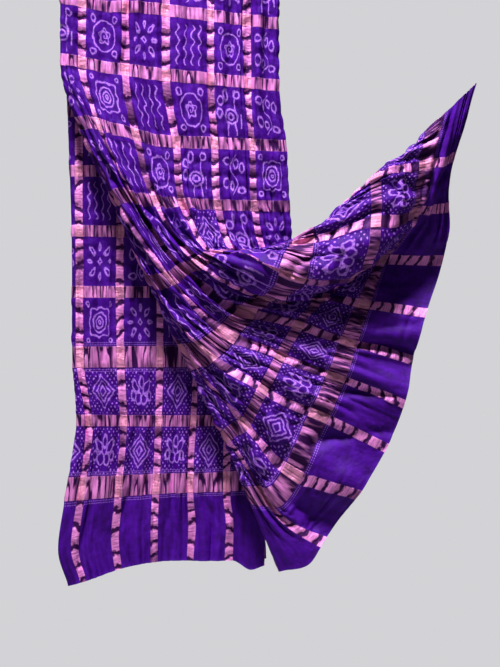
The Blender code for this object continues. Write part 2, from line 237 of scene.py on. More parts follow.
# Crinkle of the cloth. A patch is one step of a lattice of random heights: its steps across
# and along the cloth, in millimetres, and its seed.
PATCHES = {
    "fold": (6.5, 46, 11),
    "pucker drift": (84, 34, 12),
    "pucker slant": (84, 60, 13),
    "crumple": (15, 19, 15),
    "pleat along": (13, 130, 21),
    "pleat across": (90, 13, 22),
}

# Puckers of the lengthwise stripes: their pitch on the flat cloth, how far their crests drift,
# in turns, and how their crests slant and bow within a stripe, as a slope and a slope a metre
PUCKER_PITCH = 23 * MM
PUCKER_DRIFT = 0.7
PUCKER_SLANT = 0.6
PUCKER_BOW = 30

# Edges of the checks in the crinkle: how far its kinds blend about the lines between them
BAND_BLEND = (-3 * MM, 3 * MM)
STRIPE_BLEND = (-4 * MM, 2 * MM)
BORDER_BLEND = (-6 * MM, 8 * MM)

# How strong the crinkle is in the stripes, the squares and the plain borders, against 1 in the
# bands, and what the swag and the borders' stripes add. Then what the squares' crinkle is
# mixed from, and what is left where a stripe and a band cross.
STRIPE_STRENGTH = 0.7
SQUARE_STRENGTH = 0.75
SWAG_STRENGTH = 0.6
BORDER_STRENGTH = 0.2
BORDER_STRIPE_STRENGTH = 0.45
SQUARE_FOLDS = 0.4
SWAG_FOLDS = 0.4
SQUARE_PUCKER = 0.25
SQUARE_CRUMPLE = 0.6
CROSSED_BAND = 0.6
CROSSED_STRIPE = 0.4

# Share of its height that the crinkle keeps where the cloth is crowded
CROWDED_CRINKLE = 0.25

# Where the swag's heavier crumple fades out into the straight fall
SWAG_CRUMPLE_END = (450 * MM, 640 * MM)

# Pleats: their pitch on the flat cloth, their height as a share of their hung pitch, and the
# shares of its flat size at which the cloth is full of them and free of them
PLEAT_PITCH = 26 * MM
PLEAT_SHARE = 0.36
PLEAT_ROOM = (0.42, 0.74)

# A rolled hem adds this many times the cloth's own thickness at its edge
HEM_FULLNESS = 2.0

# Main creases, in millimetres: where each starts and ends, across the cloth and along its
# travel, how deep its trough is, less than nothing for a ridge, and how wide. Each bows
# sideways by a share of its length and fades in and out over shares of it.
CREASE_BOW = 0.06
CREASE_FADE_IN = (-0.15, 0.3)
CREASE_FADE_OUT = (0.7, 1.15)
Crease = namedtuple("Crease", "start end depth width")
CREASES = [Crease(*row) for row in (
    # The roll and the fan, from the turned edge to the arm
    ((275, 368), (212, 268), -9, 28), ((224, 278), (180, 185), -9, 26), ((430, 352), (352, 190), 6, 26),
    ((490, 345), (440, 165), 8, 40), ((441, 505), (411, 350), 12, 9), ((414, 368), (336, 276), 11, 8),
    ((342, 298), (296, 176), 10, 8), ((509, 482), (553, 357), 12, 8), ((380, 480), (290, 352), 9, 7),
    ((330, 500), (236, 346), 8, 8), ((268, 500), (176, 330), 6, 9), ((448, 388), (407, 294), 8, 7),
    ((532, 392), (504, 281), 7, 7), ((591, 314), (615, 255), 6, 8), ((627, 294), (718, 195), 7, 9),
    ((307, 242), (285, 194), 6, 6), ((335, 259), (311, 164), 6, 8), ((393, 158), (329, 115), 4, 7),
    ((233, 352), (148, 285), 5, 5), ((260, 312), (190, 281), 5, 5), ((154, 473), (198, 363), 6, 10),
    ((90, 250), (120, 160), 4, 8), ((455, 560), (440, 470), -5, 8), ((350, 450), (330, 350), -5, 7),
    ((640, 270), (700, 150), -4, 10),
    # The front end's plain border
    ((424, 125), (399, -20), 9, 7), ((530, 112), (490, 18), 7, 8), ((548, 118), (553, 66), 5, 6),
    ((626, 118), (585, 50), 6, 9), ((640, 60), (660, -10), -4, 12), ((700, 95), (742, 15), 5, 10),
    ((575, 45), (548, -10), 3, 8), ((372, 88), (352, 8), 3, 8), ((300, 72), (322, -5), 3, 10),
    ((224, 96), (240, 18), -3, 11), ((120, 90), (96, 10), 4, 10),
    # The straight fall of the front end
    ((300, 720), (345, 640), 4, 9), ((212, 880), (228, 700), 3, 11), ((96, 760), (70, 610), 4, 12),
    ((400, 1000), (385, 850), -4, 12), ((140, 1060), (158, 930), -3, 12), ((640, 900), (655, 720), 4, 12),
    ((790, 1010), (770, 800), 3, 14), ((846, 620), (862, 420), -4, 12), ((868, 300), (880, 120), 4, 10),
    # The bend over the line
    ((60, 1150), (96, 1085), 3, 9), ((300, 1105), (322, 1190), 3, 10), ((560, 1170), (540, 1090), -3, 9),
    ((742, 1075), (766, 1160), 3, 11),
    # The back end, its layer towards the viewer first
    ((548, 1820), (560, 1985), 4, 11), ((690, 1420), (676, 1610), -4, 12),
    ((812, 1960), (796, 2110), 3, 10), ((500, 2085), (522, 2190), 4, 9), ((330, 1500), (352, 1720), 4, 13),
    ((180, 1330), (168, 1520), -4, 12), ((92, 1880), (110, 2060), 4, 11), ((400, 1940), (380, 2150), 3, 12),
    # Its plain border, the same way
    ((602, 2185), (581, 2242), 5, 7), ((775, 2190), (791, 2300), 5, 9), ((872, 2195), (902, 2310), 5, 8),
    ((520, 2200), (486, 2300), 6, 9), ((560, 2238), (604, 2300), 4, 8), ((640, 2196), (656, 2280), -4, 10),
    ((704, 2240), (690, 2310), 4, 8), ((842, 2196), (824, 2262), -3, 7), ((60, 2190), (78, 2300), 5, 10),
    ((190, 2220), (176, 2310), -4, 9), ((318, 2186), (300, 2290), 4, 9), ((404, 2205), (430, 2300), 5, 8),
)]

# The two layers of either end hang this far before and behind the line's middle. The crinkle
# stops this short of the middle between them, and is this deep at most over the line.
LAYERS_MIDDLE = 14 * MM
LAYER_CLEARANCE = 0.8 * MM
CROWN_ROOM = 2 * MM

# Sharper bends than this, in radians, are the cloth's cut edges
RIM_ANGLE = 1.25

# Margin between the parts of the bake map, as a share of its side
BAKE_MARGIN = 0.012

# Colour of the dyed silk at its darkest and at its brightest, between which its random mottle
# and a painted shade of the crinkle blend, and the colour of its sheen
GROUND = {"field": ("280252", "5208A2"), "border": ("2E0256", "540AA8")}
SHEEN = "9A5CFF"

# Soft random clouds of the silk's pattern, of the painted highlights and shade of its metal
# thread, and of its fine crinkle: how far each reaches across and along the cloth, in
# millimetres, and how finely it is broken up. The slits between metal threads, under half a
# millimetre apart, are drawn about 2 mm apart so that they show.
CLOUDS = {
    "shift across": (11, 11, 2.0),
    "shift along": (12, 10, 2.0),
    "dots": (9, 9, 2.0),
    "mottle": (14, 14, 3.0),
    "pucker edge": (9, 5, 3.0),
    "pucker streaks": (30, 2.2, 3.0),
    "fold edge": (3, 22, 2.0),
    "fold shine": (8, 50, 2.0),
    "band crinkle": (3, 14, 4.0),
    "stripe crinkle": (12, 3.5, 4.0),
    "silk crinkle": (6, 6, 4.0),
}

# Threads are 0.3 mm apart; they are drawn 1.2 mm apart so that they still show. Where silk
# and metal meet, the weave blends over less than a millimetre.
THREAD_PITCH = 1.2 * MM
WOVEN_EDGE = 0.6 * MM

# Tied lines are dots 3.4 mm apart that nearly touch. The rest is told in half openings of a
# square: half a line's width, how far hand-tying shifts it, the radius and the pitch of the
# ground's dots, and a distance at which no line shows.
DOTS_PER_METRE = 294.0
LINE_WIDTH = 0.034
UNEVENNESS = 0.16
GROUND_DOT = 0.055
GROUND_DOT_PITCH = 0.26
FAR_OFF = 2.0

# Dotted rails beside each wide band: how far off they run, their half width and its soft edge,
# and their dots' pitch
RAILS = (2.4 * MM, 5.4 * MM)
RAIL_WIDTH = 0.6 * MM
RAIL_EDGE = 0.4 * MM
RAIL_DOT_PITCH = 3.2 * MM

# How much of a place the tied lines, the rails and the crossings colour, and how metallic the
# metal thread is, which is wound on silk and so shows some of it
TIED_SHARE = 0.78
RAIL_SHARE = 0.7
CROSSING_SHARE = 0.75
METAL_SHARE = 0.35

# The camera looks straight at the cloth, from this far and from this far beside and below the
# line. Its frame is FRAME_HEIGHT high at the cloth, and its sensor is told in millimetres.
CAMERA_DISTANCE = 3.0
CAMERA_SIDE = 0.1
CAMERA_DROP = 0.739
FRAME_HEIGHT = 0.834
SENSOR = 24.0

# The floor is a disc under the cloth. It and the backdrop glow evenly for the camera alone.
FLOOR_RADIUS = 5.5
FLOOR_HEIGHT = -1.95
FLOOR_GLOW = 0.62
BACKDROP_GLOW = 0.8

# Soft lights: their size in metres, their spread in degrees, where each stands and its aim
Lamp = namedtuple("Lamp", "size spread place aim")
LAMPS = {
    "key": Lamp(0.45, 75, (-0.2, -0.86, 1.4), (0.08, 0, -0.7)),
    "fill": Lamp(1.4, 180, (-1.6, -1.9, -0.5), (0.05, 0, -0.6)),
    "rear": Lamp(1.4, 180, (-0.6, 2.0, 0.6), (0.05, 0, -0.6)),
}

# Motifs of the squares, one letter a square: Lozenge, Flower, Ovals, Round medallion, Waves,
# Peacock, Vine and Scalloped round. A line of the chart is a row of squares, first at the hem,
# and runs from the outer selvedge to the inner one.
MOTIFS = "LFORWPVS"
CHARTS = {
    "front": (
        "LFLFLLFLFLF",
        "FLFLFFLFLFL",
        "OVRPSVWPWOS",
        "OPLVRWWRPOV",
        "SVPRWOVRPWO",
        "VPRWSOPRVWS",
        "VRWORPSVOPR",
        "POVSWVROPSW",
        "RWSPOVWRSVO",
        "SVOWRPSOWPV",
        "WPRVSOVPROS",
        "OSVRPWORVSP",
    ),
    "back": (
        "LFLFLLFLFLF",
        "FLFLFFLFLFL",
        "RPVORVSOPRW",
        "PWSVRPOVRSP",
        "OVRPSWWRVOP",
        "SPWOVRPSOVR",
        "VOPRWSVPRWO",
        "WRSVOPRWSPV",
        "POVWSRVOPRS",
        "RSPOVWSRVOP",
        "OVRSPOWVSRW",
        "VWOPRSPOVWS",
    ),
}

# Pieces in order from the front hem over the line: where each ends along the whole cloth, then
# its mesh steps on the outer layer, round the turned edge, on the inner layer and along, and
# which silk it is
Piece = namedtuple("Piece", "end outer turn inner rows finish")
PIECES = {
    "front_end_border": Piece(END_BORDER, 252, 6, 36, 36, "border"),
    "front_swag": Piece(FRONT_BREAK, 252, 6, 36, 164, "field"),
    "front_fall": Piece(FRONT_LENGTH - CROWN_REACH, 190, 6, 50, 130, "field"),
    "top_fold": Piece(FRONT_LENGTH + CROWN_LENGTH + CROWN_REACH, 130, 6, 130, 42, "field"),
    "back_fall": Piece(TOTAL_LENGTH - END_BORDER, 92, 6, 120, 218, "field"),
    "back_end_border": Piece(TOTAL_LENGTH, 120, 6, 160, 36, "border"),
}


def ease(start, end, value):
    """Smooth rise from 0 at start to 1 at end."""
    t = np.clip((value - start) / (end - start), 0.0, 1.0)
    return t * t * (3 - 2 * t)


def curve_through(knots, values, at):
    """Smooth curve through values at knots, read at given places.

    knots is (..., n), values (..., n, k) and at (..., m). Each span is a cubic. The slope at a
    knot weighs the slopes of its two spans by each other's length, stays within three times
    the flatter one and is zero at a peak, so that the curve never overshoots its values.
    """
    span = np.diff(knots, axis=-1)
    slope = np.diff(values, axis=-2) / span[..., None]
    left, right = span[..., :-1, None], span[..., 1:, None]
    inner = (slope[..., :-1, :] * right + slope[..., 1:, :] * left) / (left + right)
    flatter = 3 * np.minimum(abs(slope[..., :-1, :]), abs(slope[..., 1:, :]))
    same_way = slope[..., :-1, :] * slope[..., 1:, :] > 0
    inner = np.where(same_way, np.clip(inner, -flatter, flatter), 0.0)
    tangent = np.concatenate([slope[..., :1, :], inner, slope[..., -1:, :]], axis=-2)
    spot = (at[..., :, None] >= knots[..., None, 1:-1]).sum(axis=-1)

    def pick(array, index):
        return np.take_along_axis(array, index[..., None], axis=-2)

    size = np.take_along_axis(span, spot, axis=-1)
    t = ((at - np.take_along_axis(knots, spot, axis=-1)) / size)[..., None]
    low, high = pick(values, spot), pick(values, spot + 1)
    low_slope = pick(tangent, spot) * size[..., None]
    high_slope = pick(tangent, spot + 1) * size[..., None]
    blend = t * t * (3 - 2 * t)
    return (low + (high - low) * blend + (t ** 3 - 2 * t ** 2 + t) * low_slope
            + (t ** 3 - t ** 2) * high_slope)


def read_rails(rails, along):
    """Across places (n, r) and points (n, r, 3) of the rails at each distance along."""
    places, points = [], []
    for rows in rails.values():
        rail = dict(zip(RAIL_COLUMNS, np.array(rows).T * MM))
        hung = np.stack([rail["across"], rail["side"], rail["depth"], -rail["drop"]], axis=-1)
        read = curve_through(rail["along"], hung, along)
        places.append(read[:, 0])
        points.append(read[:, 1:])
    return np.stack(places, axis=1), np.stack(points, axis=1)


def turned_layers(outer_rails, inner_rails, across, along):
    """Points of an end of the cloth: its outer layer, the turned edge and its inner layer.

    Each layer is a smooth curve through its rails. The turn is half a circle as wide as the
    space between the layers, and its outermost point lies on the edge rail.
    """
    outer_places, outer_points = read_rails(outer_rails, along)
    inner_places, inner_points = read_rails(inner_rails, along)
    edge_place = outer_places[:, -1:]
    outward = outer_points[:, -1:] - outer_points[:, -2:-1]
    outward[..., 1] = 0.0
    outward /= np.linalg.norm(outward, axis=-1, keepdims=True)
    radius = (inner_points[:, :1, 1:2] - outer_points[:, -1:, 1:2]) / 2
    edge = outer_points[:, -1:] - outward * abs(radius)
    outer_points = np.concatenate([outer_points[:, :-1], edge], axis=1)
    outer = curve_through(outer_places, outer_points, np.minimum(across, edge_place))

    arc = np.pi * abs(radius[..., 0])
    angle = np.clip((across - edge_place) / abs(radius[..., 0]), 0.0, np.pi)[..., None]
    turn = edge + outward * abs(radius) * np.sin(angle)
    turn[..., 1:2] += radius * (1 - np.cos(angle))

    turn_end = edge.copy()
    turn_end[..., 1:2] += 2 * radius
    inner_places = np.concatenate([edge_place + arc, inner_places], axis=1)
    inner_points = np.concatenate([turn_end, inner_points], axis=1)
    inner = curve_through(inner_places, inner_points, np.maximum(across, edge_place + arc))
    points = np.where((across < edge_place)[..., None], outer, turn)
    return np.where((across > edge_place + arc)[..., None], inner, points)


def turned_edge(travel):
    """Where the turned edge starts across the cloth, and how much cloth the turn takes."""
    front = np.minimum(travel, FRONT_LENGTH)
    back = np.minimum(TOTAL_LENGTH - travel, BACK_LENGTH)
    place, arc = np.empty_like(travel), np.empty_like(travel)
    for ends, outer_rails, inner_rails, along in (
            (travel < LINE_PLACE, FRONT_OUTER, FRONT_INNER, front),
            (travel >= LINE_PLACE, BACK_OUTER, BACK_INNER, back)):
        outer_places, outer_points = read_rails(outer_rails, along)
        inner_points = read_rails(inner_rails, along)[1]
        place[ends] = outer_places[ends, -1]
        arc[ends] = np.pi / 2 * abs(inner_points[ends, 0, 1] - outer_points[ends, -1, 1])
    return place, arc


def smooth_cloth(across, travel):
    """Points of the ungathered cloth, with travel measured from the front hem over the line."""
    front = turned_layers(FRONT_OUTER, FRONT_INNER, across, np.minimum(travel, FRONT_LENGTH))
    back_along = np.minimum(TOTAL_LENGTH - travel, BACK_LENGTH)
    back = turned_layers(BACK_OUTER, BACK_INNER, across, back_along)
    angle = np.clip((travel - FRONT_LENGTH) / CROWN_LENGTH, 0.0, 1.0)[:, None, None] * np.pi
    share = (1 - np.cos(angle)) / 2
    points = front * (1 - share) + back * share
    points[..., 2:] += np.sin(angle) * (back[..., 1:2] - front[..., 1:2]) / 2
    return points


def facing(surface, across, travel):
    """Unit normals of a surface function, out of the folded cloth, and its local crowding.

    The crowding is the length that the surface leaves to the flat cloth, both ways at once.
    """
    low, high = np.maximum(across - PROBE, 0), np.minimum(across + PROBE, CLOTH_WIDTH)
    before = np.maximum(travel - PROBE, 0)
    after = np.minimum(travel + PROBE, TOTAL_LENGTH)
    sideways = (surface(high, travel) - surface(low, travel)) / (high - low)[..., None]
    onward = surface(across, after) - surface(across, before)
    onward = onward / (after - before)[:, None, None]
    room = np.linalg.norm(sideways, axis=-1) * np.linalg.norm(onward, axis=-1)
    normal = np.cross(onward, sideways)
    return normal / np.linalg.norm(normal, axis=-1, keepdims=True), room


def fold_lift(across, along):
    """Height of the fan's long folds, which widen from the bundle to the hem."""
    lift = np.zeros_like(across)
    share = (along / BUNDLE_ALONG)[:, None]
    fade = 1 - ease(BUNDLE_ALONG, FOLD_END_ALONG, along)[:, None]
    for fold in FOLDS.values():
        middle = fold.hem + (fold.bundle - fold.hem) * share
        width = fold.hem_width + (fold.bundle_width - fold.hem_width) * np.minimum(share, 1)
        lift += fold.height * MM * fade * np.exp(-((across / MM - middle) / width) ** 2)
    return lift


def cloth_lift(across, travel):
    """How far gathers, folds and swells stand off the ungathered cloth."""
    is_front = travel < LINE_PLACE
    along = np.where(is_front, travel, TOTAL_LENGTH - travel)
    edge, arc = turned_edge(travel)
    past = across - (edge + arc / 2)[:, None]
    near_turn = ease(arc[:, None] / 2, arc[:, None] / 2 + TURN_FADE, abs(past))

    crown = abs(travel - LINE_PLACE)
    height = CROWN_SHARE + (1 - CROWN_SHARE) * ease(CROWN_LENGTH, CROWN_FADE, crown)
    height = height * ease(*BORDER_FADE, along)
    fan = np.where(is_front, 1 - ease(BUNDLE_ALONG, FOLD_END_ALONG, along), 0.0)
    height = height * (1 - (1 - FAN_SHARE) * fan)
    height = height[:, None] * np.where((past > 0) & is_front[:, None], HIDDEN_SHARE, 1.0)
    drift = DRIFT_ALONG[0] * np.sin(2 * np.pi * along / DRIFT_ALONG[1])[:, None]
    drift = drift + DRIFT_ACROSS[0] * np.sin(2 * np.pi * across / DRIFT_ACROSS[1])
    wave = np.sin(2 * np.pi * (across / GATHER_PITCH + drift))
    gathers = GATHER_HEIGHT * height * (GATHER_LEAN + wave)

    swell = (1 - ease(0.0, SWELL_END, along))[:, None] * SWELL_HEIGHT
    swell = swell * np.sin(2 * np.pi * (across - CLOTH_WIDTH / 2) / SWELL_PITCH)
    swell = np.where((past > 0) & is_front[:, None], 0.0, swell)
    folds = np.where((past < 0) & is_front[:, None], fold_lift(across, along), 0.0)
    return near_turn * (gathers + swell + folds)


def cloth(across, travel):
    """Points of the gathered cloth, without its crinkle: the form that the solids have."""
    normal, room = facing(smooth_cloth, across, travel)
    lift = cloth_lift(across, travel) * ease(CROWDED_ROOM, FREE_ROOM, room)
    return smooth_cloth(across, travel) + normal * lift[..., None], room


def patches(kind, across, travel):
    """Soft random heights from -1 to 1: random values on a lattice, eased between its points.

    The lattice is moved off the cloth's corner and repeats only far past its other end.
    """
    across_step, travel_step, seed = PATCHES[kind]
    lattice = 512
    values = np.random.RandomState(seed).uniform(-1, 1, (lattice, lattice))
    u, v = np.broadcast_arrays(across / (across_step * MM) + 3.7, travel / (travel_step * MM) + 1.3)
    column, row = np.floor(u).astype(int), np.floor(v).astype(int)
    s, t = u - column, v - row
    s, t = s * s * (3 - 2 * s), t * t * (3 - 2 * t)

    def value(step_u, step_v):
        return values[(row + step_v) % lattice, (column + step_u) % lattice]

    low = value(0, 0) * (1 - s) + value(1, 0) * s
    high = value(0, 1) * (1 - s) + value(1, 1) * s
    return low * (1 - t) + high * t


def check_place(across, travel):
    """Column and row of the square at a place, and how far off its middle the place is."""
    along = np.minimum(travel, TOTAL_LENGTH - travel)
    lattice = along + np.where(along < SHIFT_ALONG, LATTICE_SHIFT, 0.0)
    column = np.round((across - FIRST_CELL) / CHECK)
    row = np.round((lattice - THIRD_ROW) / CHECK)
    return column, row + 2, across - FIRST_CELL - column * CHECK, lattice - THIRD_ROW - row * CHECK


def crinkle(across, travel):
    """Crinkle of the cloth: its height from -1 to 1, its strength, its folds and its puckers.

    Folds are random patches drawn out along the cloth, from -1 to 1, with sharp valleys where
    they pass zero. They are deep in the crosswise bands. The lengthwise stripes are puckered by
    waves along the cloth, whose crests wander and slant from stripe to stripe; they are told in
    turns, with a whole number on each crest. The tied squares are crumpled by rounder patches
    and the end borders nearly plain.
    """
    travel = travel[:, None] + 0 * across
    along = np.minimum(travel, TOTAL_LENGTH - travel)
    _, _, x, y = check_place(across, travel)
    band = ease(*(OPENING / 2 + part for part in BAND_BLEND), abs(y))
    first_band_end = WIDE_BANDS[0][1]
    band = np.maximum(band, 1 - ease(first_band_end, first_band_end + BAND_BLEND[1], along))
    stripe = ease(*(OPENING / 2 + part for part in STRIPE_BLEND), abs(x))
    field = ease(*(END_BORDER + part for part in BORDER_BLEND), along)
    swag = 1 - ease(*SWAG_CRUMPLE_END, travel)

    # The powers sharpen the valleys, and the rest brings the heights back to -1 to 1
    folds = patches("fold", across, travel)
    creased = abs(folds) ** 0.7 * 2.2 - 1
    crumple = abs(patches("crumple", across, travel)) ** 0.8 * 2.2 - 1
    turns = travel / PUCKER_PITCH + patches("pucker drift", across, travel) * PUCKER_DRIFT
    aside = x - np.sign(x) * CHECK / 2
    slant = patches("pucker slant", np.round(across / CHECK) * CHECK, travel) * PUCKER_SLANT
    turns = turns + stripe * (slant * aside - PUCKER_BOW * aside ** 2) / PUCKER_PITCH
    pucker = 1 - 2 * ((1 - np.cos(2 * np.pi * turns)) / 2) ** 2.2

    square = (1 - band) * (1 - stripe)
    band_share = band * (1 - (1 - CROSSED_BAND) * stripe)
    stripe_share = stripe * (1 - (1 - CROSSED_STRIPE) * band)
    height = band_share * creased + stripe_share * pucker
    height += square * ((SQUARE_FOLDS + SWAG_FOLDS * swag) * creased + SQUARE_PUCKER * pucker
                        + SQUARE_CRUMPLE * crumple)
    strength = band_share + STRIPE_STRENGTH * stripe_share
    strength += (SQUARE_STRENGTH + SWAG_STRENGTH * swag) * square
    plain = BORDER_STRENGTH + BORDER_STRIPE_STRENGTH * stripe
    return height, strength * field + plain * (1 - field), folds, turns


def crease_lift(across, travel):
    """How far the main creases move the cloth: soft troughs and ridges that fade at their ends."""
    lift = np.zeros_like(across)
    for crease in CREASES:
        start, end = np.array(crease.start) * MM, np.array(crease.end) * MM
        length = np.linalg.norm(end - start)
        onward, aside = (end - start) / length, (end - start)[::-1] / length * (1, -1)
        off = across - start[0], travel[:, None] - start[1]
        share = (off[0] * onward[0] + off[1] * onward[1]) / length
        bow = CREASE_BOW * length * np.sin(np.pi * np.clip(share, 0, 1))
        away = off[0] * aside[0] + off[1] * aside[1] - bow
        fade = ease(*CREASE_FADE_IN, share) * (1 - ease(*CREASE_FADE_OUT, share))
        lift -= crease.depth * MM * fade * np.exp(-(away / (crease.width * MM)) ** 2)
    return lift


def pleats(across, travel, middle):
    """Height of the pleats that take up cloth where it hangs much narrower or shorter than flat.

    They are drawn-out patches with sharp valleys, as high as PLEAT_SHARE of their own width
    as it hangs. One family runs along the cloth and the other across it.
    """
    travel = travel[:, None] + 0 * across
    lift = np.zeros_like(across)
    for axis, flat, kind in ((1, across, "pleat along"), (0, travel, "pleat across")):
        room = np.linalg.norm(np.gradient(middle, axis=axis), axis=-1)
        room = room / np.gradient(flat, axis=axis)
        crowded = 1 - ease(*PLEAT_ROOM, room)
        shape = abs(patches(kind, across, travel)) ** 0.8 * 2 - 0.9
        lift += shape * PLEAT_SHARE * PLEAT_PITCH * room * crowded
    return lift


def inward_room(points, travel):
    """How far the cloth may sink before it passes the middle between its two layers."""
    from_top = travel - LINE_PLACE
    room = abs(points[..., 1] - (np.sign(from_top) * LAYERS_MIDDLE)[:, None]) - LAYER_CLEARANCE
    over_line = (abs(from_top) < CROWN_LENGTH)[:, None]
    return np.where(over_line, CROWN_ROOM, np.maximum(room, 0.0))


def grid_normals(points):
    """Unit normals of a grid of points, out of the folded cloth."""
    onward, sideways = np.gradient(points, axis=0), np.gradient(points, axis=1)
    normal = np.cross(onward, sideways)
    return normal / np.linalg.norm(normal, axis=-1, keepdims=True)


def piece_grid(piece, start, end):
    """Across places (rows + 1, columns + 1) and travel of one piece's mesh points."""
    travel = np.linspace(start, end, piece.rows + 1)
    edge, arc = (part[:, None] for part in turned_edge(travel))
    outer = np.linspace(0, 1, piece.outer + 1)[None, :-1] * edge
    turn = edge + np.linspace(0, 1, piece.turn + 1)[None, :-1] * arc
    inner = edge + arc + np.linspace(0, 1, piece.inner + 1) * (CLOTH_WIDTH - edge - arc)
    return np.concatenate([outer, turn, inner], axis=1), travel


def wall_faces(rows, columns):
    """Corners (faces, 4) of a closed thin wall: its skin, its lining and the rim between.

    The lining's points follow the skin's. The rim's four sides are the start, the end, the
    first column and the last column.
    """
    index = np.arange(rows * columns).reshape(rows, columns)
    under = index + rows * columns

    def quads(*corners):
        return np.stack(corners, axis=-1).reshape(-1, 4)

    skin = quads(index[:-1, :-1], index[1:, :-1], index[1:, 1:], index[:-1, 1:])
    lining = quads(under[:-1, :-1], under[:-1, 1:], under[1:, 1:], under[1:, :-1])
    start = quads(index[0, :-1], index[0, 1:], under[0, 1:], under[0, :-1])
    end = quads(index[-1, 1:], index[-1, :-1], under[-1, :-1], under[-1, 1:])
    first = quads(index[1:, 0], index[:-1, 0], under[:-1, 0], under[1:, 0])
    last = quads(index[:-1, -1], index[1:, -1], under[1:, -1], under[:-1, -1])
    return skin, lining, start, end, first, last


def bake_places(parts, rows, columns):
    """Places on a square from 0 to 1 for each face corner, of which no two faces share any.

    The skin lies flat on the left half and the lining on the right half, each with its start
    at the bottom. Each side of the rim lies in a strip of the margin, told by the axis that it
    is narrow on and by whether it lies at that axis's far side.
    """
    down, over = np.meshgrid(np.linspace(0, 1, rows), np.linspace(0, 1, columns), indexing="ij")
    share = np.stack([over.ravel(), down.ravel()], axis=-1)
    share = np.concatenate([share, share])
    places = []
    halves = (0.0, 0.5, 0.0, 0.0, 0.0, 0.5)
    strips = (None, None, (1, False), (1, True), (0, False), (0, True))
    for part, half, strip in zip(parts, halves, strips):
        at = share[part].copy()
        at[..., 0] = half + BAKE_MARGIN + at[..., 0] * (0.5 - 2 * BAKE_MARGIN)
        at[..., 1] = BAKE_MARGIN + at[..., 1] * (1 - 2 * BAKE_MARGIN)
        if strip:
            axis, at_far_side = strip
            deep = BAKE_MARGIN * (0.2 + 0.6 * (part >= rows * columns))
            at[..., axis] = 1 - deep if at_far_side else deep
        places.append(at.reshape(-1, 2))
    return np.concatenate(places)


def motif_numbers(across, travel):
    """The motif of the square that each place lies in, counted from 1 in MOTIFS."""
    column, row, _, _ = check_place(across, travel)
    front, back = (np.array([[MOTIFS.index(letter) + 1 for letter in line] for line in chart])
                   for chart in CHARTS.values())
    row = np.clip(row, 0, front.shape[0] - 1).astype(int)
    column = np.clip(column, 0, front.shape[1] - 1).astype(int)
    return np.where(travel < TOTAL_LENGTH / 2, front[row, column], back[row, column])


def silk_piece(name, piece, start, end, sizes):
    """One stretch of the cloth as a closed thin wall with its two maps and four attributes.

    Crinkle, pleats and creases move the gathered cloth along its normal, and half the
    thickness on either side of that makes the skin and the lining.
    """
    across, travel = piece_grid(piece, start, end)
    middle, room = cloth(across, travel)
    height, strength, folds, turns = crinkle(across, travel)
    freedom = ease(CROWDED_ROOM, FREE_ROOM, room)
    kept = CROWDED_CRINKLE + (1 - CROWDED_CRINKLE) * freedom
    lift = height * strength * sizes.crinkle_height * kept
    edge, arc = turned_edge(travel)
    near_turn = ease(0, TURN_FADE, abs(across - (edge + arc / 2)[:, None]))
    lift += (pleats(across, travel, middle) + crease_lift(across, travel)) * near_turn
    lift = np.maximum(lift, -inward_room(middle, travel))
    middle = middle + grid_normals(middle) * lift[..., None]
    hem = 1 - ease(0, sizes.hem_width, np.minimum(travel, TOTAL_LENGTH - travel))
    half = sizes.thickness / 2 * (1 + HEM_FULLNESS * hem)
    half = half[:, None, None] * grid_normals(middle)
    points = np.concatenate([(middle + half).reshape(-1, 3), (middle - half).reshape(-1, 3)])

    rows, columns = across.shape
    parts = wall_faces(rows, columns)
    faces = np.concatenate(parts)
    mesh = bpy.data.meshes.new(name)
    mesh.vertices.add(len(points))
    mesh.vertices.foreach_set("co", points.ravel())
    mesh.loops.add(faces.size)
    mesh.loops.foreach_set("vertex_index", faces.ravel())
    mesh.polygons.add(len(faces))
    mesh.polygons.foreach_set("loop_start", np.arange(0, faces.size, 4))
    mesh.update(calc_edges=True)
    mesh.shade_smooth()
    mesh.set_sharp_from_angle(angle=RIM_ANGLE)

    flat = np.stack([across, travel[:, None] + 0 * across], axis=-1).reshape(-1, 2)
    flat = np.concatenate([flat, flat])
    mesh.uv_layers.new(name="cloth").data.foreach_set("uv", flat[faces].ravel())
    baked = bake_places(parts, rows, columns)
    mesh.uv_layers.new(name="OFBake").data.foreach_set("uv", baked.ravel())
    mesh.uv_layers["cloth"].active = True
    mesh.uv_layers["cloth"].active_render = True
    for label, values in (("crinkle", height), ("folds", folds), ("turns", turns)):
        both = np.concatenate([values.ravel(), values.ravel()])
        mesh.attributes.new(label, "FLOAT", "POINT").data.foreach_set("value", both)
    centre = flat[faces].mean(axis=1)
    motif = motif_numbers(centre[:, 0], centre[:, 1]).astype(float)
    mesh.attributes.new("motif", "FLOAT", "FACE").data.foreach_set("value", motif)
    mesh.validate()

    stretch = bpy.data.objects.new(name, mesh)
    bpy.context.scene.collection.objects.link(stretch)
    return stretch


def linear(hex_colour):
    """An sRGB hex colour as linear red, green and blue."""
    value = np.array([int(hex_colour[i:i + 2], 16) for i in (0, 2, 4)]) / 255
    curve = np.where(value <= 0.04045, value / 12.92, ((value + 0.055) / 1.055) ** 2.4)
    return tuple(float(part) for part in curve)


def add_node(tree, kind, inputs=(), **settings):
    """Adds a node with its settings, and links or sets its inputs, given by place or by name."""
    node = tree.nodes.new(kind)
    for key, value in settings.items():
        setattr(node, key, value)
    pairs = inputs.items() if isinstance(inputs, dict) else enumerate(inputs)
    for place, value in pairs:
        if isinstance(value, Wire):
            value = value.socket
        if isinstance(value, bpy.types.NodeSocket):
            tree.links.new(value, node.inputs[place])
        elif value is not None:
            node.inputs[place].default_value = value
    return node


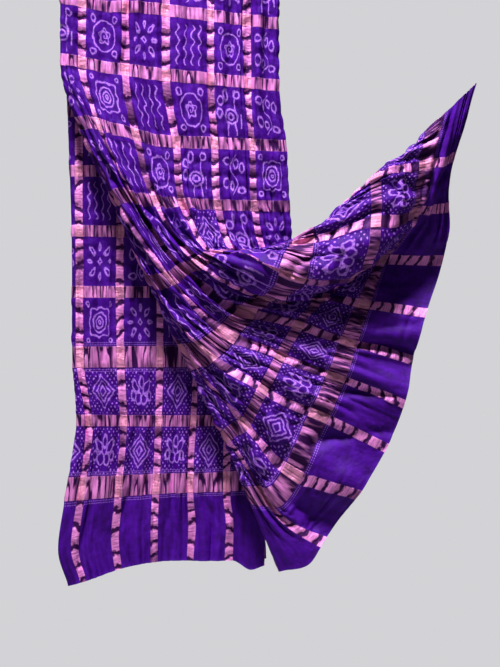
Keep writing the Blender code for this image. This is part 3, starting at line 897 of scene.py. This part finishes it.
class Wire:
    """A number that runs between nodes, so that a formula on it can be written out plainly."""

    def __init__(self, tree, socket):
        self.tree, self.socket = tree, socket

    def to(self, operation, *others, clamp=False):
        """What an operation makes of the number and others."""
        node = add_node(self.tree, "ShaderNodeMath", (self, *others), operation=operation,
                        use_clamp=clamp)
        return Wire(self.tree, node.outputs[0])

    def __add__(self, other):
        return self.to("ADD", other)

    def __sub__(self, other):
        return self.to("SUBTRACT", other)

    def __rsub__(self, other):
        return (self * -1.0) + other

    def __mul__(self, other):
        return self.to("MULTIPLY", other)

    def __truediv__(self, other):
        return self.to("DIVIDE", other)

    def __abs__(self):
        return self.to("ABSOLUTE")

    def least(self, *others):
        """The least of the number and others."""
        found = self
        for other in others:
            found = found.to("MINIMUM", other)
        return found

    def most(self, *others):
        """The most of the number and others."""
        found = self
        for other in others:
            found = found.to("MAXIMUM", other)
        return found

    def above(self, limit, softness):
        """0 below the limit and 1 above it, with a soft step between."""
        return ((self - limit) / softness + 0.5).to("ADD", 0.0, clamp=True)

    def folded(self, pitch):
        """The same number measured from the nearest multiple of pitch."""
        return self.to("WRAP", pitch / 2, -pitch / 2)


def distance_from(x, y, middle_x=0.0, middle_y=0.0):
    """Straight distance from a middle."""
    return ((x - middle_x).to("POWER", 2.0) + (y - middle_y).to("POWER", 2.0)).to("SQRT")


def loop(x, y, middle_x, middle_y, half_width, half_height):
    """Distance from an oval line."""
    off_x, off_y = (x - middle_x) / half_width, (y - middle_y) / half_height
    return abs((off_x * off_x + off_y * off_y).to("SQRT") - 1.0) * min(half_width, half_height)


def loops(x, y, *rows):
    """Distance from the nearest of several oval lines, a row of a loop's numbers for each."""
    first, *others = (loop(x, y, *row) for row in rows)
    return first.least(*others)


# Distances from the drawn lines of each motif. At a spot, x runs across and y along the cloth
# from the middle of the square, and 1 is half its opening. Radius and angle are the same spot
# told from the middle.
Spot = namedtuple("Spot", "x y radius angle")


def lozenge(at):
    """Three nested diamonds."""
    diamond = abs(at.x) + abs(at.y)
    return abs(diamond - 0.7).least(abs(diamond - 0.45), abs(diamond - 0.2)) * 0.71


def flower(at):
    """A lotus of closed petals: a tall one between two leaning ones, over four low ones."""
    petals = loops(at.x, at.y, (0.02, 0.38, 0.15, 0.25), (-0.2, -0.3, 0.2, 0.24),
                   (0.2, -0.32, 0.19, 0.22), (-0.52, -0.18, 0.13, 0.2), (0.52, -0.2, 0.12, 0.19))
    return petals.least(loop(at.x + at.y * 0.5, at.y, -0.26, 0.2, 0.17, 0.26),
                        loop(at.x - at.y * 0.5, at.y, 0.28, 0.18, 0.17, 0.27))


def ovals(at):
    """Eight ovals in a ring, every other one smaller, round a small diamond."""
    turned = at.angle.folded(np.pi / 4)
    out, aside = at.radius * turned.to("COSINE") - 0.6, at.radius * turned.to("SINE")
    oval = ((out * out) * 0.3 + aside * aside).to("SQRT")
    oval = abs(oval - 0.078 + (at.angle * 4.0).to("COSINE") * 0.022)
    return oval.least(abs(abs(at.x) + abs(at.y) - 0.13) * 0.71)


def medallion(at):
    """A ring round a lobed knot with a spiral in it, and a loop at each corner."""
    knot = at.radius - 0.27 - (at.angle * 5.0).to("COSINE") * 0.05
    pitch = 0.18
    spiral = abs((at.radius - at.angle * (pitch / (2 * np.pi))).folded(pitch))
    corner = distance_from(abs(at.x), abs(at.y), 0.6, 0.68)
    return abs(at.radius - 0.62).least(abs(knot), spiral.most(at.radius - 0.22),
                                       abs(corner - 0.12))


def waves(at):
    """Four wavy lines side by side."""
    line = abs((at.x + (at.y * 12.0).to("SINE") * 0.07 - 0.2).folded(0.4))
    return line.most(abs(at.x) - 0.75, abs(at.y) - 0.75)


def peacock(at):
    """A bird of loops: body, wing, head, neck, back, two legs and three tail feathers."""
    x, y = at.x * 0.87, at.y * 0.87
    neck = abs(x + 0.33 - y * 0.15 - (y * 6.0).to("SINE") * 0.06).most(abs(y - 0.25) - 0.22)
    legs = abs(abs(x + 0.02) - 0.16 + y * 0.12).most(abs(y + 0.58) - 0.18)
    back = abs(x + 0.55).most(abs(y + 0.3) - 0.2)
    return neck.least(legs, back, loops(
        x, y, (0.0, -0.14, 0.36, 0.25), (0.02, -0.14, 0.16, 0.1), (-0.38, 0.6, 0.16, 0.13),
        (0.3, 0.58, 0.12, 0.18), (0.6, 0.36, 0.15, 0.14), (0.64, -0.05, 0.12, 0.15)))


def vine(at):
    """A stem in an S with a loop leaf in each bend."""
    stem = abs(at.x - (at.y * 4.6).to("SINE") * 0.24).most(abs(at.y) - 0.76)
    return stem.least(loops(
        at.x, at.y, (0.5, -0.3, 0.16, 0.2), (-0.5, 0.3, 0.16, 0.2), (-0.1, 0.45, 0.12, 0.15),
        (0.1, -0.42, 0.12, 0.15), (0.48, 0.55, 0.2, 0.12), (-0.48, -0.6, 0.2, 0.12)))


def scalloped(at):
    """A squarish ring with eight scallops round three more rings, and a loop at each corner."""
    scallop = (at.angle * 8.0).to("COSINE") * 0.035
    x, y = at.x, at.y
    square = ((x * x * x * x) + (y * y * y * y)).to("POWER", 0.25)
    corner = distance_from(abs(x), abs(y), 0.7, 0.74)
    rings = (abs(at.radius - ring) for ring in (0.4, 0.22, 0.07))
    return abs(square - 0.58 - scallop).least(*rings, abs(corner - 0.09))


MOTIF_LINES = (lozenge, flower, ovals, medallion, waves, peacock, vine, scalloped)

# What the shader reads at each place on the cloth: where it is, in metres and from the middle
# of its square; whether it lies in the field, a stripe, a band or either of these; what the
# crinkle and the motif are there; and the soft random clouds
Silk = namedtuple("Silk", "tree place across travel along x y field stripe band zari "
                          "crinkle folds turns motif cloud")


def read_silk(tree):
    """Reads the cloth's flat map and attributes, and lays out its checks and its clouds."""
    place = add_node(tree, "ShaderNodeUVMap", uv_map="cloth").outputs[0]
    split = add_node(tree, "ShaderNodeSeparateXYZ", (place,))
    across, travel = (Wire(tree, split.outputs[i]) for i in (0, 1))
    along = travel.least(TOTAL_LENGTH - travel)
    lattice = along + (SHIFT_ALONG - along).to("GREATER_THAN", 0.0) * LATTICE_SHIFT
    x = (across - FIRST_CELL).folded(CHECK) / (OPENING / 2)
    y = (lattice - THIRD_ROW).folded(CHECK) / (OPENING / 2)

    field = along.above(END_BORDER, WOVEN_EDGE)
    stripe = abs(x).above(1.0, 0.02)
    band = abs(y).above(1.0, 0.02).most((WIDE_BANDS[0][1] - along).above(0.0, WOVEN_EDGE)) * field

    known = (Wire(tree, add_node(tree, "ShaderNodeAttribute", attribute_name=label).outputs["Fac"])
             for label in ("crinkle", "folds", "turns", "motif"))
    cloud = {}
    for label, (across_size, travel_size, detail) in CLOUDS.items():
        scale = (1 / (across_size * MM), 1 / (travel_size * MM), 1.0)
        scaled = add_node(tree, "ShaderNodeVectorMath", (place, scale), operation="MULTIPLY")
        drift = add_node(tree, "ShaderNodeTexNoise", {"Vector": scaled.outputs[0],
                         "Scale": 1.0, "Detail": detail}, noise_dimensions="2D")
        cloud[label] = Wire(tree, drift.outputs[0])
    return Silk(tree, place, across, travel, along, x, y, field, stripe, band,
                stripe.most(band), *known, cloud)


def tied_lines(silk):
    """Share of the cloth that tying kept pale: motifs, their ground's dots and dotted rails."""
    scale = (DOTS_PER_METRE, DOTS_PER_METRE, 1.0)
    dots = add_node(silk.tree, "ShaderNodeVectorMath", (silk.place, scale), operation="MULTIPLY")
    dots = add_node(silk.tree, "ShaderNodeTexVoronoi", {"Vector": dots.outputs[0], "Scale": 1.0,
                    "Randomness": 0.35}, voronoi_dimensions="2D")
    dotted = (0.45 - Wire(silk.tree, dots.outputs[0])).above(0.0, 0.16)

    # Hand-tied lines are not quite even, so their places shift a little
    x, y = (side + silk.cloud[label] * UNEVENNESS - UNEVENNESS / 2
            for side, label in ((silk.x, "shift across"), (silk.y, "shift along")))
    spot = Spot(x, y, distance_from(x, y), x.to("ARCTAN2", y))
    distance = FAR_OFF
    for number, lines in enumerate(MOTIF_LINES, start=1):
        chosen = silk.motif.to("COMPARE", float(number), 0.4)
        distance = (lines(spot) + (1.0 - chosen) * FAR_OFF).least(distance)
    lines = (LINE_WIDTH - distance).above(0.0, 0.03) * (dotted * 0.4 + 0.6)

    # Tied dots fill the ground round the lozenges and flowers, in slanting rows 6 mm apart
    slant, counter = (diagonal.folded(GROUND_DOT_PITCH) for diagonal in (x + y, x - y))
    ground = (GROUND_DOT - distance_from(slant, counter)).above(0.0, 0.03)
    for share in (silk.cloud["dots"].above(0.4, 0.12), (2.5 - silk.motif).above(0.0, 0.1),
                  (abs(silk.x) + abs(silk.y)).above(0.84, 0.05),
                  (0.93 - abs(silk.x).most(abs(silk.y))).above(0.0, 0.02)):
        ground = ground * share

    # Two dotted lines run beside each wide band
    first, second = (abs(silk.along - (start + end) / 2) - (end - start) / 2
                     for start, end in WIDE_BANDS)
    off = first.least(second)
    near, far = ((RAIL_WIDTH - abs(off - rail)).above(0.0, RAIL_EDGE) for rail in RAILS)
    stitches = (silk.across * (2 * np.pi / RAIL_DOT_PITCH)).to("SINE").above(-0.1, 0.8)
    rails = near.most(far) * stitches * RAIL_SHARE
    return (lines.most(ground) * silk.field).most(rails) * (1.0 - silk.zari)


def lit_metal(silk):
    """Share of the metal thread that is lit, and where a stripe and a band cross.

    It is lit on the crests of folds and puckers and dark in their valleys. Each fold and each
    pucker has a brightness of its own, for it turns its own way, and the swag's are darker.
    """
    cloud, both = silk.cloud, silk.stripe * silk.band
    swag_start, swag_end = SWAG_CRUMPLE_END
    swag = ((swag_start + swag_end) / 2 - silk.travel).above(0.0, swag_end - swag_start)
    swag = swag * silk.field

    crest = silk.turns.to("ROUND")
    chance = add_node(silk.tree, "ShaderNodeCombineXYZ",
                      ((silk.across / CHECK).to("FLOOR"), crest, 0.0))
    chance = add_node(silk.tree, "ShaderNodeTexWhiteNoise", (chance.outputs[0],),
                      noise_dimensions="2D")
    chance = Wire(silk.tree, chance.outputs[0])
    gap = abs(silk.turns - crest) + (cloud["pucker edge"] - 0.5) * 0.4
    pucker = (0.35 - gap).above(0.0, 0.1) * (chance - 0.06 - swag * 0.16).above(0.0, 0.3)
    pucker = pucker * (cloud["pucker streaks"].above(0.45, 0.2) * 0.38 + 0.62)

    off_valley = abs(silk.folds) + (cloud["fold edge"] - 0.5) * 0.3
    fold = off_valley.above(0.2, 0.16) * (cloud["fold shine"] * 2.6 - 0.6 - swag * 0.35)
    fold = fold.to("ADD", 0.0, clamp=True)
    crossed = off_valley.above(0.1, 0.14) * 0.35 + 0.65 - swag * 0.25
    lit = fold * (silk.band * (1.0 - both)) + pucker * (1.0 - silk.band)
    return (lit + both * crossed).to("ADD", 0.0, clamp=True), both


def silk_material(name, colours, ground):
    """Crinkled tie-dyed silk with woven metallic checks.

    Dyed silk has a soft glow at grazing light, and its tied dots show as pale broken lines.
    The metal thread is bright where the crinkle faces the light and nearly black where it
    turns away, so its stripes look hatched.
    """
    material = bpy.data.materials.new(name)
    material.use_nodes = True
    tree = material.node_tree
    shader = tree.nodes["Principled BSDF"]
    silk = read_silk(tree)
    tied = tied_lines(silk)
    lit, both = lit_metal(silk)
    mottle = silk.cloud["mottle"]
    # Random mottle of the dyed ground, and painted shade: the ground is darker in the crinkle's valleys and
    # lighter on its crests
    mottle_and_painted_shade = (mottle * 0.9 + silk.crinkle * 0.14).to("ADD", 0.0, clamp=True)

    paint = {label: (*colour, 1) for label, colour in (
        ("dark dyed ground and painted shade", linear(ground[0])), ("bright dyed ground and painted light", linear(ground[1])),
        ("tied lines", colours.tied_lines), ("thread", colours.metal_thread),
        ("crossings", colours.crossings), ("shade", colours.metal_shade))}
    # Each row blends two of these into a third, by a share of the second
    for label, share, first, second in (
            ("ground", mottle_and_painted_shade, "dark dyed ground and painted shade", "bright dyed ground and painted light"),
            ("silk", tied * TIED_SHARE, "ground", "tied lines"),
            ("lit metal", both * CROSSING_SHARE, "thread", "crossings"),
            ("metal", lit, "shade", "lit metal"),
            ("cloth", silk.zari, "silk", "metal")):
        blend = add_node(tree, "ShaderNodeMix", {0: share, 6: paint[first], 7: paint[second]},
                         data_type="RGBA")
        paint[label] = blend.outputs[2]

    # The weave's threads run both ways, and each part of the checks has a fine crinkle
    thread = (silk.across * (2 * np.pi / THREAD_PITCH)).to("SINE") * (
        silk.travel * (2 * np.pi / THREAD_PITCH)).to("SINE")
    fine = silk.cloud["band crinkle"] * silk.band + silk.cloud["stripe crinkle"] * silk.stripe
    fine = fine + silk.cloud["silk crinkle"] * (1.0 - silk.zari) * (silk.field * 0.3 + 0.45)
    bump = add_node(tree, "ShaderNodeBump", {"Strength": 0.8, "Distance": 1.5 * MM,
                    "Height": fine + thread * 0.04})

    for socket, value in {"Base Color": paint["cloth"], "Normal": bump.outputs[0],
                          "Roughness": (silk.zari * -0.08 + mottle * 0.12 + 0.5).socket,
                          "Metallic": (silk.zari * METAL_SHARE).socket}.items():
        tree.links.new(value, shader.inputs[socket])
    for socket, value in {"Specular IOR Level": 0.1, "Sheen Weight": 0.03,
                          "Sheen Roughness": 0.45, "Sheen Tint": (*linear(SHEEN), 1)}.items():
        shader.inputs[socket].default_value = value
    return material


class StoleSizes(PropertyGroup):
    """Sizes of the cloth's crinkle and edges."""
    crinkle_height: FloatProperty(
        name="Crinkle height", description="How far the fine crinkle stands off the cloth",
        default=1.9 * MM, min=0.0, soft_max=4 * MM, precision=4, unit="LENGTH")
    thickness: FloatProperty(
        name="Cloth thickness", description="Thickness of the silk, drawn a little heavier",
        default=0.5 * MM, min=0.1 * MM, soft_max=2 * MM, precision=4, unit="LENGTH")
    hem_width: FloatProperty(
        name="Hem width", description="Width of the rolled hem at either end",
        default=5 * MM, min=1 * MM, soft_max=20 * MM, precision=4, unit="LENGTH")


class StoleColours(PropertyGroup):
    """Colours of the dyed silk and the metal thread."""
    metal_thread: FloatVectorProperty(
        name="Metal thread", description="Woven stripes and bands where they face the light",
        subtype="COLOR", default=linear("F08EDE"), min=0, max=1)
    crossings: FloatVectorProperty(
        name="Crossings", description="Where a stripe crosses a band",
        subtype="COLOR", default=linear("F29CBA"), min=0, max=1)
    metal_shade: FloatVectorProperty(
        name="Metal shade", description="Metal thread where the crinkle turns away",
        subtype="COLOR", default=linear("38104C"), min=0, max=1)
    tied_lines: FloatVectorProperty(
        name="Tied lines", description="Undyed dots of the motifs",
        subtype="COLOR", default=linear("BE7CF2"), min=0, max=1)


class StageSettings(PropertyGroup):
    """Floor, backdrop and lights."""
    floor: FloatVectorProperty(
        name="Floor", description="Colour of the floor and the backdrop",
        subtype="COLOR", default=linear("E9E8EC"), min=0, max=1)
    glow: FloatProperty(
        name="Glow", description="Strength of the even light from all round", default=0.07)
    key_power: FloatProperty(
        name="Key light", description="Power of the main light", default=23.0, unit="POWER")
    fill_power: FloatProperty(
        name="Fill light", description="Power of the fill light", default=3.5, unit="POWER")
    rear_power: FloatProperty(
        name="Rear light", description="Power of the light behind", default=30.0, unit="POWER")


def add_stretch(name):
    """Makes one stretch of the cloth, with its silk, and puts it in its solid's place."""
    scene = bpy.context.scene
    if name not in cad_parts:
        raise RuntimeError("the frame has no node " + name)
    piece = PIECES[name]
    start = max([0.0] + [other.end for other in PIECES.values() if other.end < piece.end])
    stretch = silk_piece("silk_" + name, piece, start, piece.end, scene.stole_sizes)
    slot = "silk_" + piece.finish
    silk = "crinkled_" + slot
    if silk not in bpy.data.materials:
        silk_material(silk, scene.stole_colours, GROUND[piece.finish])
    stretch.data.materials.append(bpy.data.materials[silk])
    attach(stretch, "root")
    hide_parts(name)
    relaxed = CLOTH_WIDTH * RELAXED_ACROSS, (piece.end - start) * RELAXED_ALONG


class STOLE_OT_front_end(Operator):
    """Makes the front end: its plain border, the swag drawn aside and the straight fall."""
    bl_idname = "stole.front_end"
    bl_label = "Front end"

    def execute(self, context):
        for name in ("front_end_border", "front_swag", "front_fall"):
            add_stretch(name)
        return {"FINISHED"}


class STOLE_OT_top_fold(Operator):
    """Makes the bend over the line."""
    bl_idname = "stole.top_fold"
    bl_label = "Top fold"

    def execute(self, context):
        add_stretch("top_fold")
        return {"FINISHED"}


class STOLE_OT_back_end(Operator):
    """Makes the back end: its straight fall and its plain border."""
    bl_idname = "stole.back_end"
    bl_label = "Back end"

    def execute(self, context):
        for name in ("back_fall", "back_end_border"):
            add_stretch(name)
        return {"FINISHED"}


def add_lamp(name, lamp, power):
    """Adds a soft square light."""
    light = bpy.data.lights.new(name, "AREA")
    light.energy, light.size, light.spread = power, lamp.size, np.radians(lamp.spread)
    holder = bpy.data.objects.new(name, light)
    holder.location = lamp.place
    toward = Vector(lamp.aim) - Vector(lamp.place)
    holder.rotation_euler = toward.to_track_quat("-Z", "Y").to_euler()
    bpy.context.scene.collection.objects.link(holder)


def add_studio(colour, glow):
    """Lights the scene evenly and gives it a pale backdrop."""
    world = bpy.data.worlds.new("studio")
    world.use_nodes = True
    tree = world.node_tree
    even = tree.nodes["Background"]
    even.inputs["Color"].default_value = colour
    even.inputs["Strength"].default_value = glow
    seen = add_node(tree, "ShaderNodeBackground", {0: colour, 1: BACKDROP_GLOW})
    rays = add_node(tree, "ShaderNodeLightPath")
    both = add_node(tree, "ShaderNodeMixShader", {
        0: rays.outputs["Is Camera Ray"], 1: even.outputs[0], 2: seen.outputs[0]})
    tree.links.new(both.outputs[0], tree.nodes["World Output"].inputs["Surface"])
    bpy.context.scene.world = world


def add_floor(colour):
    """Lays a round floor of matt paint, which stays pale beyond the lights' reach."""
    paint = bpy.data.materials.new("matt_floor")
    paint.use_nodes = True
    tree = paint.node_tree
    matt = tree.nodes["Principled BSDF"]
    for socket, value in (("Base Color", colour), ("Roughness", 0.8), ("Emission Color", colour)):
        matt.inputs[socket].default_value = value
    rays = add_node(tree, "ShaderNodeLightPath")
    pale = add_node(tree, "ShaderNodeMath", (rays.outputs["Is Camera Ray"], FLOOR_GLOW),
                    operation="MULTIPLY")
    tree.links.new(pale.outputs[0], matt.inputs["Emission Strength"])

    mesh = bpy.data.meshes.new("floor")
    turn = np.linspace(0, 2 * np.pi, 65)[:-1]
    rim = np.stack([FLOOR_RADIUS * np.cos(turn), FLOOR_RADIUS * np.sin(turn),
                    np.full_like(turn, FLOOR_HEIGHT)], axis=-1)
    mesh.from_pydata(rim.tolist(), [], [list(range(len(rim)))])
    mesh.materials.append(paint)
    floor = bpy.data.objects.new("floor", mesh)
    bpy.context.scene.collection.objects.link(floor)


def add_camera():
    """Puts the camera at the viewing angle, straight in front."""
    lens = bpy.data.cameras.new("camera")
    lens.sensor_fit, lens.sensor_height = "VERTICAL", SENSOR
    lens.lens = SENSOR * CAMERA_DISTANCE / FRAME_HEIGHT
    camera = bpy.data.objects.new("camera", lens)
    camera.location = (CAMERA_SIDE, -CAMERA_DISTANCE, -CAMERA_DROP)
    camera.rotation_euler = (np.pi / 2, 0, 0)
    bpy.context.scene.collection.objects.link(camera)
    bpy.context.scene.camera = camera


class STOLE_OT_stage(Operator):
    """Makes the pale floor and backdrop, the soft lights and the camera."""
    bl_idname = "stole.stage"
    bl_label = "Stage"

    def execute(self, context):
        settings = context.scene.stole_stage
        colour = (*settings.floor, 1)
        context.scene.view_settings.view_transform = "Standard"
        add_studio(colour, settings.glow)
        add_floor(colour)
        for name, lamp in LAMPS.items():
            add_lamp(name, lamp, getattr(settings, name + "_power"))
        add_camera()
        return {"FINISHED"}


class STOLE_PT_panel(Panel):
    """Lists the stole's pieces, sizes and colours."""
    bl_idname = "STOLE_PT_panel"
    bl_label = "Dupatta stole"
    bl_space_type = "VIEW_3D"
    bl_region_type = "UI"
    bl_category = "Stole"

    def draw(self, context):
        for step in OPERATORS:
            self.layout.operator(step.bl_idname)
        for group in (context.scene.stole_sizes, context.scene.stole_colours,
                      context.scene.stole_stage):
            for name in group.bl_rna.properties.keys():
                if name not in ("rna_type", "name"):
                    self.layout.prop(group, name)


OPERATORS = (STOLE_OT_stage, STOLE_OT_front_end, STOLE_OT_top_fold, STOLE_OT_back_end)
CLASSES = (StoleSizes, StoleColours, StageSettings, *OPERATORS, STOLE_PT_panel)


def register():
    """Makes the stole's classes and settings known."""
    for each in CLASSES:
        bpy.utils.register_class(each)
    bpy.types.Scene.stole_sizes = PointerProperty(type=StoleSizes)
    bpy.types.Scene.stole_colours = PointerProperty(type=StoleColours)
    bpy.types.Scene.stole_stage = PointerProperty(type=StageSettings)


def unregister():
    """Takes the stole's settings and classes out again."""
    del bpy.types.Scene.stole_stage, bpy.types.Scene.stole_colours, bpy.types.Scene.stole_sizes
    for each in reversed(CLASSES):
        bpy.utils.unregister_class(each)


def main():
    """Makes the stage and the stole."""
    register()
    bpy.ops.stole.stage()
    bpy.ops.stole.front_end()
    bpy.ops.stole.top_fold()
    bpy.ops.stole.back_end()


if __name__ == "__main__":
    main()
